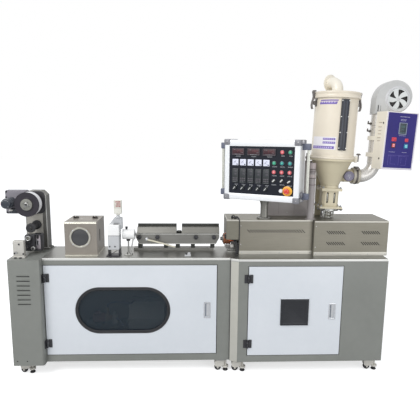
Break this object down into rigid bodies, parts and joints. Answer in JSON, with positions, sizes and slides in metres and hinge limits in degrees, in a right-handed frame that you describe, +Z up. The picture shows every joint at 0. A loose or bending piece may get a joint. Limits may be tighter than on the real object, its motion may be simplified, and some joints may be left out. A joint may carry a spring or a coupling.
{
  "type": "filament extruder line",
  "caption": "Plastic filament extrusion line on caster cabinets: leaning hopper dryer, control panel on a post, covered barrel, water trough, diameter scanner, puller and spool winder.",
  "frame": {"origin": "middle of the footprint's bounding box, on the floor", "axes": "+X along the line from the winder to the drive, +Y from the front to the back, +Z up"},
  "size_m": [2.9713, 0.4726, 2.2027],
  "materials": {
    "cabinet_grey": "satin",
    "door_white": "satin",
    "stainless": "brushed",
    "champagne": "brushed",
    "dark_metal": "satin",
    "black_rubber": "matte",
    "black_plastic": "matte",
    "smoked_glass": "gloss",
    "aluminium": "satin",
    "caster_metal": "satin",
    "white_paint": "satin",
    "cream_metal": "satin",
    "silver_paint": "satin",
    "mauve_metal": "satin",
    "white_filament": "matte",
    "copper": "satin",
    "panel_black": "satin",
    "control_black": "gloss",
    "water_white": "matte"
  },
  "bodies": {
    "machine": {"left_cabinet": "cabinet_grey", "right_cabinet": "cabinet_grey", "table_tops": "stainless", "end_housing": "cabinet_grey", "door_hinges": "dark_metal", "caster_brackets": "caster_metal", "caster_wheels": "black_rubber", "water_unit": "water_white", "barrel_cover": "champagne", "drive_cover": "champagne", "die_hood": "champagne", "die_head": "dark_metal", "heater_band": "copper", "winder_stand": "aluminium", "winder_motor": "dark_metal", "traverse_unit": "aluminium", "puller_box": "stainless", "diameter_scanner": "white_paint", "cooling_drum": "white_paint", "trough": "stainless", "panel_post": "stainless", "rear_housing": "mauve_metal", "cable_riser": "mauve_metal", "hopper_cone": "cream_metal", "hopper_body": "cream_metal", "hopper_lid": "cream_metal", "sight_glass": "black_plastic", "hopper_clamps": "dark_metal", "hopper_base": "cream_metal", "feed_throat": "cream_metal", "hopper_stay": "cream_metal", "blower_pipe": "silver_paint", "blower": "silver_paint", "dryer_control_box": "cream_metal"},
    "left_door": {"left_door": "door_white", "window_gasket": "black_rubber", "window_glass": "smoked_glass"},
    "right_door": {"right_door": "door_white"},
    "spool": {"spool": "black_plastic", "filament": "white_filament"},
    "guide_roller": {"guide_roller": "black_rubber"},
    "left_lid": {"left_lid": "stainless"},
    "right_lid": {"right_lid": "stainless"},
    "control_panel": {"panel_case": "aluminium", "panel_face": "panel_black", "panel_controls": "control_black"},
    "slide_gate": {"slide_gate": "stainless"}
  },
  "joints": [
    {"name": "left_door_hinge", "type": "hinge", "parent": "machine", "child": "left_door", "pos_m": [-1.15715, -0.16501, 0.4925], "axis": [0, 0, -1], "range_deg": [0, 110]},
    {"name": "right_door_hinge", "type": "hinge", "parent": "machine", "child": "right_door", "pos_m": [0.29685, -0.20201, 0.4925], "axis": [0, 0, -1], "range_deg": [0, 110]},
    {"name": "spool_spin", "type": "hinge", "parent": "machine", "child": "spool", "pos_m": [-1.30165, -0.01901, 1.246], "axis": [0, 1, 0], "continuous": true},
    {"name": "guide_roller_spin", "type": "hinge", "parent": "machine", "child": "guide_roller", "pos_m": [-1.27865, -0.03601, 1.076], "axis": [0, 1, 0], "continuous": true},
    {"name": "left_lid_hinge", "type": "hinge", "parent": "machine", "child": "left_lid", "pos_m": [-0.37415, 0.14579, 1.025], "axis": [-1, 0, 0], "range_deg": [0, 95]},
    {"name": "right_lid_hinge", "type": "hinge", "parent": "machine", "child": "right_lid", "pos_m": [-0.04465, 0.14579, 1.025], "axis": [-1, 0, 0], "range_deg": [0, 95]},
    {"name": "panel_swivel", "type": "hinge", "parent": "machine", "child": "control_panel", "pos_m": [0.42635, -0.00201, 1.291], "axis": [0, 0, 1], "range_deg": [-40, 18]},
    {"name": "gate_slide", "type": "slide", "parent": "machine", "child": "slide_gate", "axis": [0.9995, 0, -0.0314], "range_m": [0, 0.06]}
  ]
}
